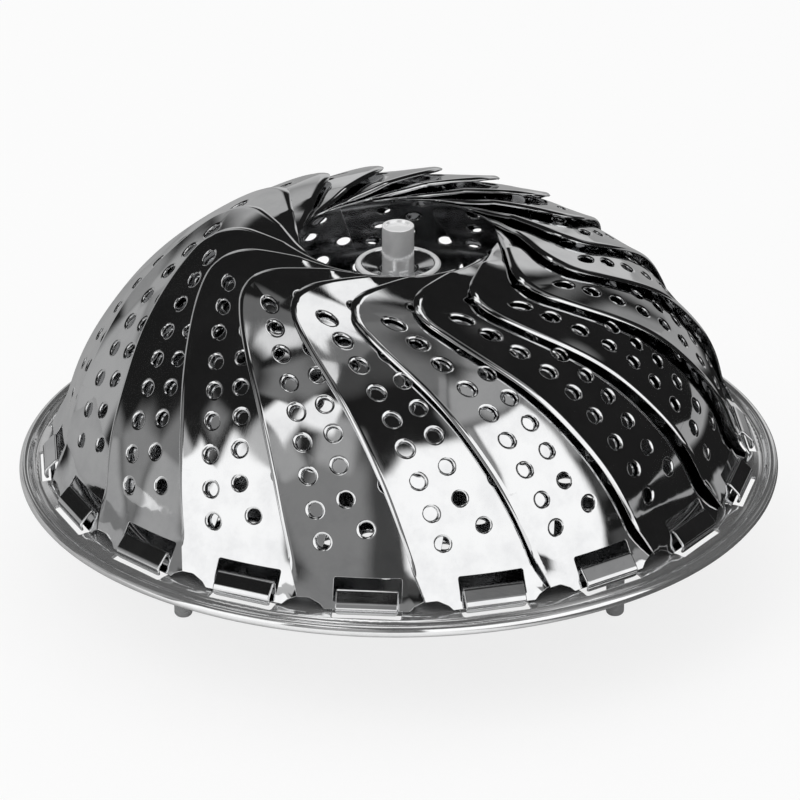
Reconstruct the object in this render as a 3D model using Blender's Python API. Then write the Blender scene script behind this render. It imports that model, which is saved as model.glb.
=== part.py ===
# Folding steamer basket, closed: eighteen lapping perforated petals hinged round a footed base plate.
# Metres, +Z up. The feet stand on z = 0 round the origin, and the front of the basket faces -Y.

import math

import bmesh
import bpy
from mathutils import Matrix, Vector, geometry

# Base plate, one pressing
rim_radius = 0.080
plate_sheet = 0.0006
stand_height = 0.0253
bead_radius = 0.00125
groove_width = 0.0009
groove_depth = 0.0006
flange_width = 0.0085
wall_run = 0.0105
dish_depth = 0.0080
plate_hole_radius = 0.0024
plate_hole_ring_shares = (0.347, 0.573, 0.799)
plate_holes_per_ring = (3, 6, 6)

# Petals and their hinges
petal_count = 18
first_petal_azimuth = math.radians(-175.0)
petal_sheet = 0.0004
petal_lap = 0.00105
lap_rise_height = 0.0025
lap_reference_height = 0.0100
flat_foot_height = 0.0080
hinge_inset = 0.0070
hinge_rise = 0.0011
bar_height = 0.0016
tab_width = 0.0170
arch_height = 0.0014
arch_spread = 0.0016
window_width = 0.0136
window_top = 0.0056
root_overlap = 0.00085
root_relief = 0.00025
mouth_radius = 0.0209
petal_hole_radius = 0.0016
edge_to_holes = 0.0073
column_step = 0.0066
lowest_hole_shift = 0.0031
holes_in_column = 7

# Tongues that curl over the petals' hinge bars
tongue_gap = 0.0005
curl_clearance = 0.00045
slot_side_gap = 0.0006
slot_outer_land = 0.0006

# Centre post with its finger disc and fixings
post_height = 0.0519
post_radius = 0.00335
post_cup_depth = 0.0007
post_cup_wall = 0.00045
post_edge = 0.0003
spigot_radius = 0.0024
spigot_end = 0.0009
disc_radius = 0.0090
disc_drop = 0.0090
disc_rim_radius = 0.00085
disc_web = 0.0007
disc_hub_radius = 0.0047
disc_hub_height = 0.0040
washer_radius = 0.0070
washer_sheet = 0.0008
nut_across_flats = 0.0080
nut_height = 0.0032

# Folding legs
leg_azimuths = tuple(math.radians(degrees) for degrees in (-150.0, -30.0, 90.0))
leg_inset = 0.0056
leg_radius = 0.0019
leg_eye_radius = 0.0021
leg_eye_width = 0.0026
bracket_sheet = 0.0008
bracket_lug_reach = 0.0025
pin_radius = 0.0008
pin_head_radius = 0.0013
pin_head_height = 0.0005

# Shared clearances
seat_gap = 0.00025
turn_gap = 0.0003
weld_reach = 0.000003

# Slope of the closed petal, in degrees from level, at shares of its length
slope_station_shares = (0.0, 0.14, 0.22, 0.31, 0.43, 0.50, 0.57, 0.66, 0.72, 0.79, 0.86, 1.0)
slope_degrees = (63.0, 76.0, 67.0, 58.0, 54.0, 48.0, 41.0, 37.0, 34.0, 20.0, 9.0, 7.0)

# Half widths of the petal at its top, as shares of the hinge circle's radius
top_left_share = 0.412
top_right_share = 0.288

# Spread of the petal's two long edges from root width to top width, at shares of its length
left_station_shares = (0.0, 0.16, 0.30, 0.41, 0.50, 0.58, 0.65, 0.71, 1.0)
left_spread_shares = (0.0, 0.19, 0.36, 0.51, 0.65, 0.79, 0.91, 0.98, 1.0)
right_station_shares = (0.0, 0.15, 0.38, 0.64, 1.0)
right_spread_shares = (0.0, 0.24, 0.52, 0.76, 1.0)
lap_limit_share = 0.77

# Corners of the petal's blank, at shares of its length
left_corner_shares = (0.12, 0.20, 0.31, 0.43, 0.53, 0.62)
shoulder_share = 0.70
right_corner_shares = (0.71, 0.61, 0.50, 0.39, 0.27, 0.17, 0.08)
hip_share = 0.80

# Corners along the mouth, at shares of the left shoulder's or the right hip's half width
shoulder_round_share = 0.68
mouth_corner_shares = (0.40, 0.10, -0.26)
hip_round_share = 0.80

# Two staggered columns of holes, at shares of the petal's length
first_hole_share = 0.157
hole_pitch_share = 0.084

# Points inside the blank that let its covered side follow the dome, as rows of length share and edge share
right_inner_shares = (0.15, 0.28, 0.42, 0.53, 0.62, 0.70, 0.78, 0.86)
right_inner_reach_share = 0.45
left_inner_shares = (0.68, 0.77, 0.86)
left_inner_reach_share = 0.15
corner_inner_shares = (0.81,)
corner_inner_reach_share = 0.50

# Other proportions
wall_ring_shares = (0.12, 0.88)
neck_share = 0.8
collar_share = 0.3

# Facets
rim_segments = 2 * petal_count
wall_segments = 2 * petal_count
meridian_steps = 160

# Heights and radii that follow from the sizes above
flange_mid = stand_height - plate_sheet / 2
floor_mid = flange_mid - dish_depth
floor_top = floor_mid + plate_sheet / 2
floor_under = floor_mid - plate_sheet / 2
bead_mid_radius = bead_radius - plate_sheet / 2
bead_centre_radius = rim_radius - bead_radius
bead_centre_height = flange_mid - bead_mid_radius
flange_outer_radius = rim_radius - 2 * bead_radius - groove_width
flange_inner_radius = flange_outer_radius - flange_width
floor_radius = flange_inner_radius - wall_run
hinge_radius = rim_radius - hinge_inset
hinge_height = stand_height + hinge_rise
bar_half = bar_height / 2
curl_radius = math.hypot(bar_half, petal_sheet / 2) + curl_clearance + plate_sheet / 2
tongue_half = window_width / 2 - tongue_gap
petal_pitch = 2 * math.pi / petal_count
half_pitch_chord = hinge_radius * math.tan(petal_pitch / 2)
petal_root_left = half_pitch_chord + root_overlap
petal_root_right = half_pitch_chord - root_relief
petal_top_left = hinge_radius * top_left_share
petal_top_right = hinge_radius * top_right_share
leg_circle_radius = floor_radius - leg_inset


def piecewise(stations, values, share):
    # Straight lines between the stations, with level ends
    if share <= stations[0]:
        return values[0]
    for low, high, start, end in zip(stations, stations[1:], values, values[1:]):
        if share <= high:
            return start + (end - start) * (share - low) / (high - low)
    return values[-1]


def smooth_step(share):
    # Eased rise from nought to one
    clipped = min(max(share, 0.0), 1.0)
    return clipped * clipped * (3 - 2 * clipped)


def steel(name, colour, roughness):
    # One metal per kind of piece
    material = bpy.data.materials.new(name)
    material.use_nodes = True
    shader = material.node_tree.nodes["Principled BSDF"]
    shader.inputs["Base Color"].default_value = (*colour, 1.0)
    shader.inputs["Metallic"].default_value = 1.0
    shader.inputs["Roughness"].default_value = roughness
    material.diffuse_color = (*colour, 1.0)
    material.metallic = 1.0
    material.roughness = roughness
    return material


def finish_mesh(mesh_data, material, crease_degrees=35.0):
    # Smooth shading with crisp creases
    mesh_data.materials.append(material)
    mesh_data.shade_smooth()
    mesh_data.set_sharp_from_angle(angle=math.radians(crease_degrees))
    return mesh_data


def place(name, mesh_data, location=(0, 0, 0), azimuth=0.0):
    # A named object turned to its azimuth
    made = bpy.data.objects.new(name, mesh_data)
    made.location = location
    made.rotation_euler = (0, 0, azimuth)
    bpy.context.scene.collection.objects.link(made)
    return made


def mesh_from(name, build):
    # Runs a bmesh recipe and returns its mesh
    shape = bmesh.new()
    build(shape)
    bmesh.ops.recalc_face_normals(shape, faces=shape.faces)
    mesh_data = bpy.data.meshes.new(name)
    shape.to_mesh(mesh_data)
    shape.free()
    return mesh_data


def polar(radius, angle, height=0.0):
    return Vector((radius * math.cos(angle), radius * math.sin(angle), height))


def ring_points(centre, radius, count, turn=0.0):
    # Corners of a regular outline in the plane of a blank
    points = []
    for index in range(count):
        angle = turn + 2 * math.pi * index / count
        points.append((centre[0] + radius * math.cos(angle), centre[1] + radius * math.sin(angle)))
    return points


def blank_sheet(shape, outline, openings, inner_points, form):
    # A pierced flat blank, then formed: each flat point is carried to its place by form
    points = list(outline)
    faces = [list(range(len(outline)))]
    for opening in openings:
        start = len(points)
        points.extend(opening)
        faces.append(list(range(start, len(points))))
    edges = [(loop[i], loop[(i + 1) % len(loop)]) for loop in faces for i in range(len(loop))]
    points.extend(inner_points)
    flat = [Vector(point) for point in points]
    result = geometry.delaunay_2d_cdt(flat, edges, [], 0, 0.0)
    flat_points, triangles = result[0], result[2]
    verts = [shape.verts.new(form(point.x, point.y)) for point in flat_points]
    for triangle in triangles:
        corners = [flat_points[index] for index in triangle]
        middle = (sum(c.x for c in corners) / 3, sum(c.y for c in corners) / 3)
        if inside(middle, outline) and not any(inside(middle, opening) for opening in openings):
            shape.faces.new([verts[index] for index in triangle])
    loose = [vert for vert in shape.verts if not vert.link_faces]
    bmesh.ops.delete(shape, geom=loose, context="VERTS")


def inside(point, loop):
    # Even-odd test in the plane of a blank
    found = False
    for (x1, y1), (x2, y2) in zip(loop, loop[1:] + loop[:1]):
        if (y1 > point[1]) != (y2 > point[1]):
            if point[0] < x1 + (x2 - x1) * (point[1] - y1) / (y2 - y1):
                found = not found
    return found


def thicken(made, sheet):
    # Sheet metal: the modelled surface is the middle of the sheet
    solidify = made.modifiers.new("sheet", "SOLIDIFY")
    solidify.thickness = sheet
    solidify.offset = 0.0
    solidify.use_even_offset = True
    solidify.use_quality_normals = True


# Petal

def closed_length():
    # Arc length that carries the dome from the hinge circle in to the mouth
    total = 0.0
    for index in range(meridian_steps):
        slope = piecewise(slope_station_shares, slope_degrees, index / meridian_steps)
        total += math.cos(math.radians(slope))
    return (hinge_radius - mouth_radius) * meridian_steps / total


petal_length = closed_length()


def meridian_table():
    # Rows of arc length, radius, height and slope up the closed dome, from the hinge axis
    rows = []
    radius = hinge_radius
    height = hinge_height
    step = petal_length / meridian_steps
    for index in range(meridian_steps + 1):
        slope = math.radians(piecewise(slope_station_shares, slope_degrees, index / meridian_steps))
        rows.append((index * step, radius, height, slope))
        radius -= math.cos(slope) * step
        height += math.sin(slope) * step
    return rows


meridian_rows = meridian_table()


def meridian(along):
    # Radius, height and slope at one arc length, carried on straight past the ends
    step = petal_length / meridian_steps
    index = min(max(int(along / step), 0), meridian_steps)
    start, radius, height, slope = meridian_rows[index]
    rest = along - start
    return radius - math.cos(slope) * rest, height + math.sin(slope) * rest, slope


def left_edge(along):
    # Distance of the exposed left edge from the petal's centre line
    share = piecewise(left_station_shares, left_spread_shares, along / petal_length)
    return -(petal_root_left + (petal_top_left - petal_root_left) * share)


def right_edge(along):
    # Distance of the covered right edge from the petal's centre line
    share = piecewise(right_station_shares, right_spread_shares, along / petal_length)
    return petal_root_right + (petal_top_right - petal_root_right) * share


def mouth_edge(across):
    # Arc length at which the straight top edge crosses a line parallel to the centre line
    target = math.hypot(mouth_radius, across)
    for start, radius, height, slope in meridian_rows:
        if radius <= target:
            return start - (target - radius) / math.cos(slope)
    return petal_length


def petal_point(along, across):
    # The formed petal: part of the dome, wound inwards by one lap for each pitch from its left edge
    radius, height, slope = meridian(along)
    angle = math.asin(max(min(across / radius, 1.0), -1.0))
    reference = min(max(along, 0.0), petal_length * lap_limit_share)
    left_angle = math.asin(left_edge(reference) / meridian(reference)[0])
    level = left_angle * smooth_step(along / lap_reference_height)
    lap = petal_lap * smooth_step(along / lap_rise_height) * (angle - level) / petal_pitch
    curved = smooth_step(along / flat_foot_height)
    inner = radius - math.sin(slope) * lap
    outward = inner * (1 - curved + curved * math.cos(angle))
    sideways = across + (inner * math.sin(angle) - across) * curved
    return Vector((outward - hinge_radius, sideways, height - math.cos(slope) * lap - hinge_height))


def bend(start, corner, end, steps):
    # Rounded corner: a parabola that touches both sides
    points = []
    for index in range(steps + 1):
        t = index / steps
        a, b, c = (1 - t) * (1 - t), 2 * t * (1 - t), t * t
        points.append(tuple(a * p + b * q + c * r for p, q, r in zip(start, corner, end)))
    return points


def petal_outline():
    # Blank outline as (along, across), left edge first, then the mouth, then the right edge
    tab = tab_width / 2
    outline = [(-bar_half, -tab), (arch_height, -tab - arch_spread), (arch_height, left_edge(arch_height))]
    for share in left_corner_shares:
        outline.append((petal_length * share, left_edge(petal_length * share)))
    shoulder = petal_length * shoulder_share
    corner_across = left_edge(shoulder)
    flat_start = corner_across * shoulder_round_share
    outline.extend(bend((shoulder, corner_across), (mouth_edge(corner_across), corner_across),
                        (mouth_edge(flat_start), flat_start), 3))
    for share in mouth_corner_shares:
        across = corner_across * share
        outline.append((mouth_edge(across), across))
    hip = petal_length * hip_share
    tip_across = right_edge(hip)
    tip_start = tip_across * hip_round_share
    outline.extend(bend((mouth_edge(tip_start), tip_start), (mouth_edge(tip_across), tip_across),
                        (hip, tip_across), 2))
    for share in right_corner_shares:
        outline.append((petal_length * share, right_edge(petal_length * share)))
    outline += [(arch_height, right_edge(arch_height)), (arch_height, tab + arch_spread), (-bar_half, tab)]
    return outline


def petal_holes():
    # Two staggered columns that follow the left edge, the lowest hole of the second moved to the middle
    holes = []
    for column in range(2):
        for index in range(holes_in_column):
            along = petal_length * (first_hole_share + hole_pitch_share * (index + column / 2))
            across = left_edge(along) + edge_to_holes + column_step * column
            if column == 1 and index == 0:
                across += lowest_hole_shift
            holes.append(ring_points((along, across), petal_hole_radius, 6))
    return holes


def petal_window():
    # The opening above the hinge bar
    half = window_width / 2
    return [(bar_half, -half), (window_top, -half), (window_top, half), (bar_half, half)]


def petal_inner_points():
    # Points that let the covered side follow the dome
    points = []
    for share in right_inner_shares:
        along = petal_length * share
        points.append((along, right_edge(along) * right_inner_reach_share))
    for share in left_inner_shares:
        along = petal_length * share
        points.append((along, left_edge(along) * left_inner_reach_share))
    for share in corner_inner_shares:
        along = petal_length * share
        points.append((along, left_edge(along) * corner_inner_reach_share))
    return points


def make_petals():
    print("petals")
    metal = steel("petal_steel", (0.72, 0.73, 0.74), 0.08)

    def build(shape):
        blank_sheet(shape, petal_outline(), petal_holes() + [petal_window()],
                    petal_inner_points(), petal_point)

    mesh_data = finish_mesh(mesh_from("petal", build), metal)
    for index in range(petal_count):
        azimuth = first_petal_azimuth + petal_pitch * index
        made = place(f"petal_{index + 1:02d}", mesh_data,
                     polar(hinge_radius, azimuth, hinge_height), azimuth)
        thicken(made, petal_sheet)


# Base plate

def plate_height(radius):
    # Level floor, rounded wall, level flange
    share = (radius - floor_radius) / (flange_inner_radius - floor_radius)
    clipped = min(max(share, 0.0), 1.0)
    return floor_mid + dish_depth * (1 - math.cos(math.pi * clipped)) / 2


def plate_point(x, y):
    return Vector((x, y, plate_height(math.hypot(x, y))))


def slot_outline(azimuth):
    # Slot under one hinge, with the tongue's root as the middle of its inner side
    root = hinge_radius - curl_radius
    half = tongue_half + slot_side_gap
    corner_radius = flange_outer_radius * math.cos(math.pi / rim_segments) - slot_outer_land
    outer = math.sqrt(corner_radius * corner_radius - half * half)
    corners = [(root, -half), (outer, -half), (outer, half), (root, half)]
    corners += [(root, tongue_half), (root, -tongue_half)]
    cosine, sine = math.cos(azimuth), math.sin(azimuth)
    return [(x * cosine - y * sine, x * sine + y * cosine) for x, y in corners]


def tongue_path():
    # Middle of the curled strip, outward and height, from its root to its free edge
    path = [(hinge_radius - curl_radius, flange_mid)]
    for degrees in (180, 125, 70, 15, -30):
        angle = math.radians(degrees)
        path.append((hinge_radius + curl_radius * math.cos(angle),
                     hinge_height + curl_radius * math.sin(angle)))
    return path


def add_tongue(shape, azimuth):
    # Pulls the strip out of the slot's inner side, edge by edge
    turn = Matrix.Rotation(azimuth, 4, "Z")
    path = tongue_path()
    last = []
    for side in (-tongue_half, tongue_half):
        root = turn @ Vector((path[0][0], side, path[0][1]))
        last.append(min(shape.verts, key=lambda vert: (vert.co - root).length))
    for outward, height in path[1:]:
        row = [shape.verts.new(turn @ Vector((outward, side, height)))
               for side in (-tongue_half, tongue_half)]
        shape.faces.new((last[0], last[1], row[1], row[0]))
        last = row


def bead_path():
    # Groove and rolled bead, radius and height, from the flange's edge round to the curl's end
    path = [(flange_outer_radius + groove_width * 0.5, flange_mid - groove_depth)]
    for degrees in (150, 95, 40, -15, -70, -125):
        angle = math.radians(degrees)
        path.append((bead_centre_radius + bead_mid_radius * math.cos(angle),
                     bead_centre_height + bead_mid_radius * math.sin(angle)))
    return path


def add_bead(shape):
    # Rolls the plate's outer edge, ring by ring
    def on_edge(vert):
        return math.hypot(vert.co.x, vert.co.y) > flange_outer_radius - seat_gap

    last = sorted((vert for vert in shape.verts if on_edge(vert)),
                  key=lambda vert: math.atan2(vert.co.y, vert.co.x))
    for radius, height in bead_path():
        row = []
        for vert in last:
            row.append(shape.verts.new(polar(radius, math.atan2(vert.co.y, vert.co.x), height)))
        for index in range(len(last)):
            after = (index + 1) % len(last)
            shape.faces.new((last[index], last[after], row[after], row[index]))
        last = row


def plate_holes():
    # Rings of drain holes in the floor
    holes = []
    for ring, (share, count) in enumerate(zip(plate_hole_ring_shares, plate_holes_per_ring)):
        for index in range(count):
            angle = 2 * math.pi * (index + 0.5 * (ring % 2)) / count
            centre = polar(floor_radius * share, angle)
            holes.append(ring_points((centre.x, centre.y), plate_hole_radius, 6, angle))
    return holes


def make_base_plate():
    print("base plate")
    metal = steel("plate_steel", (0.70, 0.71, 0.72), 0.12)
    outline = ring_points((0, 0), flange_outer_radius, rim_segments)
    openings = [slot_outline(first_petal_azimuth + petal_pitch * index) for index in range(petal_count)]
    openings += plate_holes()
    openings.append(ring_points((0, 0), spigot_radius + turn_gap, 12))
    inner_points = []
    for share in wall_ring_shares:
        radius = floor_radius + (flange_inner_radius - floor_radius) * share
        inner_points += ring_points((0, 0), radius, wall_segments)

    def build(shape):
        blank_sheet(shape, outline, openings, inner_points, plate_point)
        for index in range(petal_count):
            add_tongue(shape, first_petal_azimuth + petal_pitch * index)
        add_bead(shape)

    mesh_data = finish_mesh(mesh_from("base_plate", build), metal)
    thicken(place("base_plate", mesh_data), plate_sheet)


# Turned pieces

def turned(name, profile, segments, material):
    # Spins a closed outline, given as (radius, height), round the upright axis
    def build(shape):
        verts = [shape.verts.new((radius, 0, height)) for radius, height in profile]
        edges = [shape.edges.new((verts[i], verts[i + 1])) for i in range(len(verts) - 1)]
        if min(radius for radius, height in profile) > 0:
            edges.append(shape.edges.new((verts[-1], verts[0])))
        bmesh.ops.spin(shape, geom=verts + edges, cent=(0, 0, 0), axis=(0, 0, 1),
                       angle=2 * math.pi, steps=segments, use_merge=True)
        bmesh.ops.remove_doubles(shape, verts=shape.verts, dist=weld_reach)

    return finish_mesh(mesh_from(name, build), material)


def make_post():
    print("centre post, finger disc, washer and nut")
    metal = steel("post_steel", (0.78, 0.78, 0.78), 0.12)
    top = stand_height + post_height
    seat = floor_top + seat_gap
    washer_top = floor_under - seat_gap
    nut_top = washer_top - washer_sheet - seat_gap
    end = nut_top - nut_height - spigot_end
    cup = post_radius - post_cup_wall
    profile = [(0, top - post_cup_depth), (cup - post_edge, top - post_cup_depth), (cup, top),
               (post_radius - post_edge, top), (post_radius, top - post_edge), (post_radius, seat),
               (spigot_radius, seat), (spigot_radius, end), (0, end)]
    place("centre_post", turned("centre_post", profile, 12, metal))

    ring = post_radius + turn_gap
    middle = top - disc_drop
    rim = disc_radius - disc_rim_radius
    web = disc_web / 2
    disc = [(ring, middle + web), (rim - disc_rim_radius, middle + web)]
    for degrees in (90, 30, -30, -90):
        angle = math.radians(degrees)
        disc.append((rim + disc_rim_radius * math.cos(angle), middle + disc_rim_radius * math.sin(angle)))
    disc += [(rim - disc_rim_radius, middle - web), (disc_hub_radius, middle - web)]
    disc += [(disc_hub_radius, middle - disc_hub_height), (ring, middle - disc_hub_height)]
    disc_metal = steel("disc_steel", (0.74, 0.74, 0.75), 0.08)
    place("finger_disc", turned("finger_disc", disc, 15, disc_metal))

    hole = spigot_radius + turn_gap
    washer = [(hole, washer_top), (washer_radius, washer_top),
              (washer_radius, washer_top - washer_sheet), (hole, washer_top - washer_sheet)]
    fixing_metal = steel("fixing_steel", (0.62, 0.62, 0.63), 0.28)
    place("post_washer", turned("post_washer", washer, 12, fixing_metal))

    nut_corner = nut_across_flats / 2 / math.cos(math.pi / 6)

    def build_nut(shape):
        blank_sheet(shape, ring_points((0, 0), nut_corner, 6), [ring_points((0, 0), hole, 12)], [],
                    lambda x, y: Vector((x, y, nut_top)))
        result = bmesh.ops.extrude_face_region(shape, geom=shape.faces[:])
        drawn = [item for item in result["geom"] if isinstance(item, bmesh.types.BMVert)]
        bmesh.ops.translate(shape, verts=drawn, vec=(0, 0, -nut_height))

    place("post_nut", finish_mesh(mesh_from("post_nut", build_nut), fixing_metal))


# Legs, each with a bracket and a pin

def leg_sizes():
    # Pivot height and the half gap between the bracket's lugs
    plate_low = floor_under - seat_gap - bracket_sheet
    pivot = plate_low - turn_gap - leg_eye_radius
    return pivot, plate_low, leg_eye_width / 2 + turn_gap


def build_bracket(shape):
    # Inverted channel: two rounded lugs, each with its pin hole, folded down from a short top plate
    pivot, plate_low, half_gap = leg_sizes()
    fold = plate_low + bracket_sheet / 2 - pivot
    reach = bracket_lug_reach
    outline = [(-reach, fold), (-reach, 0)]
    for index in range(1, 5):
        angle = math.pi + math.pi * index / 5
        outline.append((reach * math.cos(angle), reach * math.sin(angle)))
    outline += [(reach, 0), (reach, fold)]
    hole = ring_points((0, 0), pin_radius + turn_gap, 6)
    folds = []
    for side in (-1, 1):
        before = set(shape.verts)
        offset = side * (half_gap + bracket_sheet / 2)
        blank_sheet(shape, outline, [hole], [], lambda x, z: Vector((x, offset, z)))
        made = [vert for vert in shape.verts if vert not in before]
        made = sorted((vert for vert in made if vert.co.z > fold / 2), key=lambda vert: vert.co.x)
        folds.append(made)
    (a, b), (c, d) = folds
    shape.faces.new((a, b, d, c))


def build_leg(shape):
    # Flattened eye on top, round peg with a domed foot below
    half = leg_eye_width / 2
    neck = bracket_lug_reach + bracket_sheet
    outline = []
    for index in range(7):
        angle = math.radians(-20 + 220 * index / 6)
        outline.append((leg_eye_radius * math.cos(angle), leg_eye_radius * math.sin(angle)))
    outline += [(-leg_radius * neck_share, -neck), (leg_radius * neck_share, -neck)]
    hole = ring_points((0, 0), pin_radius + turn_gap, 6)
    blank_sheet(shape, outline, [hole], [], lambda x, z: Vector((x, -half, z)))
    result = bmesh.ops.extrude_face_region(shape, geom=shape.faces[:])
    drawn = [item for item in result["geom"] if isinstance(item, bmesh.types.BMVert)]
    bmesh.ops.translate(shape, verts=drawn, vec=(0, leg_eye_width, 0))


def make_peg(name, material):
    # Round peg from the eye's neck to the domed foot
    pivot = leg_sizes()[0]
    top = -bracket_lug_reach - seat_gap
    profile = [(0, top), (leg_radius * neck_share, top), (leg_radius, top - leg_radius * collar_share),
               (leg_radius, leg_radius - pivot)]
    for degrees in (35, 65):
        angle = math.radians(degrees)
        profile.append((leg_radius * math.cos(angle), leg_radius - pivot - leg_radius * math.sin(angle)))
    profile.append((0, -pivot))
    return turned(name, profile, 10, material)


def make_legs():
    print("legs")
    leg_metal = steel("leg_steel", (0.66, 0.66, 0.67), 0.16)
    bracket_metal = steel("bracket_steel", (0.64, 0.64, 0.65), 0.22)
    pin_metal = steel("pin_steel", (0.60, 0.60, 0.61), 0.25)
    pivot = leg_sizes()[0]
    half_gap = leg_sizes()[2]
    bracket_mesh = finish_mesh(mesh_from("leg_bracket", build_bracket), bracket_metal)
    eye_mesh = finish_mesh(mesh_from("leg_eye", build_leg), leg_metal)
    peg_mesh = make_peg("leg_peg", leg_metal)
    outer = half_gap + bracket_sheet
    pin_reach = outer + seat_gap
    pin_profile = [(0, -pin_reach - pin_head_height), (pin_head_radius, -pin_reach - pin_head_height),
                   (pin_head_radius, -pin_reach), (pin_radius, -pin_reach), (pin_radius, pin_reach),
                   (pin_head_radius, pin_reach), (pin_head_radius, pin_reach + pin_head_height),
                   (0, pin_reach + pin_head_height)]
    pin_mesh = turned("leg_pin", pin_profile, 6, pin_metal)
    pin_mesh.transform(Matrix.Rotation(math.pi / 2, 4, "X"))
    for index, azimuth in enumerate(leg_azimuths):
        spot = polar(leg_circle_radius, azimuth, pivot)
        thicken(place(f"leg_bracket_{index + 1}", bracket_mesh, spot, azimuth), bracket_sheet)
        place(f"leg_pin_{index + 1}", pin_mesh, spot, azimuth)
        peg = place(f"leg_peg_{index + 1}", peg_mesh, spot, azimuth)
        peg.hide_render = True
        peg.display_type = "WIRE"
        made = place(f"leg_{index + 1}", eye_mesh, spot, azimuth)
        union = made.modifiers.new("peg", "BOOLEAN")
        union.operation = "UNION"
        union.object = peg


def clear_scene():
    for old in list(bpy.data.objects):
        bpy.data.objects.remove(old, do_unlink=True)


def main():
    clear_scene()
    make_base_plate()
    make_petals()
    make_post()
    make_legs()


main()
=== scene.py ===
import math

import bmesh
import bpy
import numpy as np
from mathutils import Matrix, Vector, geometry


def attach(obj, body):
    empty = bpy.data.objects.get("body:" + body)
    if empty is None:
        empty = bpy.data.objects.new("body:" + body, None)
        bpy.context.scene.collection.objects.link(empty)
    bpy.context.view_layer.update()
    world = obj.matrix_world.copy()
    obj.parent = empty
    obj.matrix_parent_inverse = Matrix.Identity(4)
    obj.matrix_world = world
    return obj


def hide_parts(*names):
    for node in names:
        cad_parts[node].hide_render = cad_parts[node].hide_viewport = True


# Folding steamer basket, shut. Its pieces are in millimetres and degrees; finishes, studio and meshes in metres.

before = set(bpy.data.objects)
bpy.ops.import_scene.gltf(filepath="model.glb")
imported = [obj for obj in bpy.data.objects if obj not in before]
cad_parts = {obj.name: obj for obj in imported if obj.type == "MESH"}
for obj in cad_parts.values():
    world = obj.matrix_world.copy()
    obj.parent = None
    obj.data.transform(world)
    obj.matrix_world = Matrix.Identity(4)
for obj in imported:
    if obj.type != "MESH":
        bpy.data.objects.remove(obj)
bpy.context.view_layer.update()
mm = 0.001


def seatAt(radius, azimuth, height):
    # place round the basket, turned to face outwards
    radius = radius * mm
    spot = Vector((radius * math.cos(azimuth), radius * math.sin(azimuth), height * mm))
    return Matrix.Translation(spot) @ Matrix.Rotation(azimuth, 4, "Z")


def softStep(share):
    share = np.clip(share, 0.0, 1.0)
    return share * share * (3 - 2 * share)


def rise(value, start, run):
    return softStep((value - start) / run)


def fading(gap, size, width):
    # full size at no gap, nothing beyond the width
    return size * np.clip(1 - gap / width, 0, None) ** 2


def spoke(angle):
    return np.array([math.cos(angle), math.sin(angle)])


def softTable(shares, values, blur=0.028, count=601):
    # straight lines between the stations, then blurred so that no bend shows in the polish
    fine = np.linspace(0, 1, count)
    raw = np.interp(fine, shares, values)
    reach = int(3 * blur * count)
    before = 2 * raw[0] - raw[reach:0:-1]
    after = 2 * raw[-1] - raw[-2:-reach - 2:-1]
    weights = np.exp(-0.5 * (np.arange(-reach, reach + 1) / (blur * count)) ** 2)
    return fine, np.convolve(np.concatenate([before, raw, after]), weights / weights.sum(), "valid")


def roundCorner(before, corner, after, radius, room, fewest, widest):
    # points round a corner, each with the weights of the two sides that meet there
    back, ahead = before - corner, after - corner
    backLength, aheadLength = np.linalg.norm(back), np.linalg.norm(ahead)
    back, ahead = back / backLength, ahead / aheadLength
    half = math.acos(max(-1.0, min(1.0, back @ ahead))) / 2
    trim = min(radius / math.tan(half), room * backLength, room * aheadLength)
    middle = corner + (back + ahead) / np.linalg.norm(back + ahead) * (trim * math.tan(half)) / math.sin(half)
    start, end = corner + back * trim - middle, corner + ahead * trim - middle
    turn = math.pi - 2 * half
    parts = max(fewest, math.ceil(turn / math.radians(widest)))
    weights = [[math.sin(share * turn) / math.sin(turn) for share in (1 - part / parts, part / parts)]
               for part in range(parts + 1)]
    return [(middle + start * first + end * second, first, second) for first, second in weights]


def roundedLoop(corners, radii, step, closed=True):
    # corners with their rounding radii -> dense outline, straight parts split about every step
    corners = [np.array(corner, float) for corner in corners]
    pieces = []
    for before, corner, after, radius in zip(corners[-1:] + corners, corners, corners[1:] + corners[:1], radii):
        arc = roundCorner(before, corner, after, radius, 0.48, 2, 24) if radius > 0 else [(corner, 0, 0)]
        pieces.append([spot for spot, first, second in arc])
    outline = []
    for index, arc in enumerate(pieces):
        outline += arc
        if closed or index < len(pieces) - 1:
            run = pieces[(index + 1) % len(pieces)][0] - arc[-1]
            parts = int(np.linalg.norm(run) / step)
            outline += [arc[-1] + run * part / (parts + 1) for part in range(1, parts + 1)]
    return np.array(outline)


def loopArea(loop):
    # twice the area, positive when the loop runs anticlockwise
    ahead = np.roll(loop, -1, axis=0)
    return (loop[:, 0] * ahead[:, 1] - ahead[:, 0] * loop[:, 1]).sum()


def inBlocks(points, work):
    # works through many points a few hundred at a time
    return np.concatenate([work(points[first:first + 500, None]) for first in range(0, len(points), 500)])


def insideLoops(points, loops):
    # even-odd test against all loops at once
    start = np.vstack(loops)
    end = np.vstack([np.roll(loop, -1, axis=0) for loop in loops])
    climb = end[:, 1] - start[:, 1]
    climb = np.where(climb == 0, 1e-12, climb)

    def inside(block):
        apart = (start[:, 1] > block[..., 1]) != (end[:, 1] > block[..., 1])
        cross = start[:, 0] + (end[:, 0] - start[:, 0]) * (block[..., 1] - start[:, 1]) / climb
        return (apart & (block[..., 0] < cross)).sum(axis=1) % 2 == 1

    return inBlocks(points, inside)


def hexGrid(low, high, pitch):
    across = np.arange(low[0], high[0], pitch)
    return np.vstack([np.column_stack([across + index % 2 * pitch / 2, np.full(len(across), y)])
                      for index, y in enumerate(np.arange(low[1], high[1], pitch * 0.866))])


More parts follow.
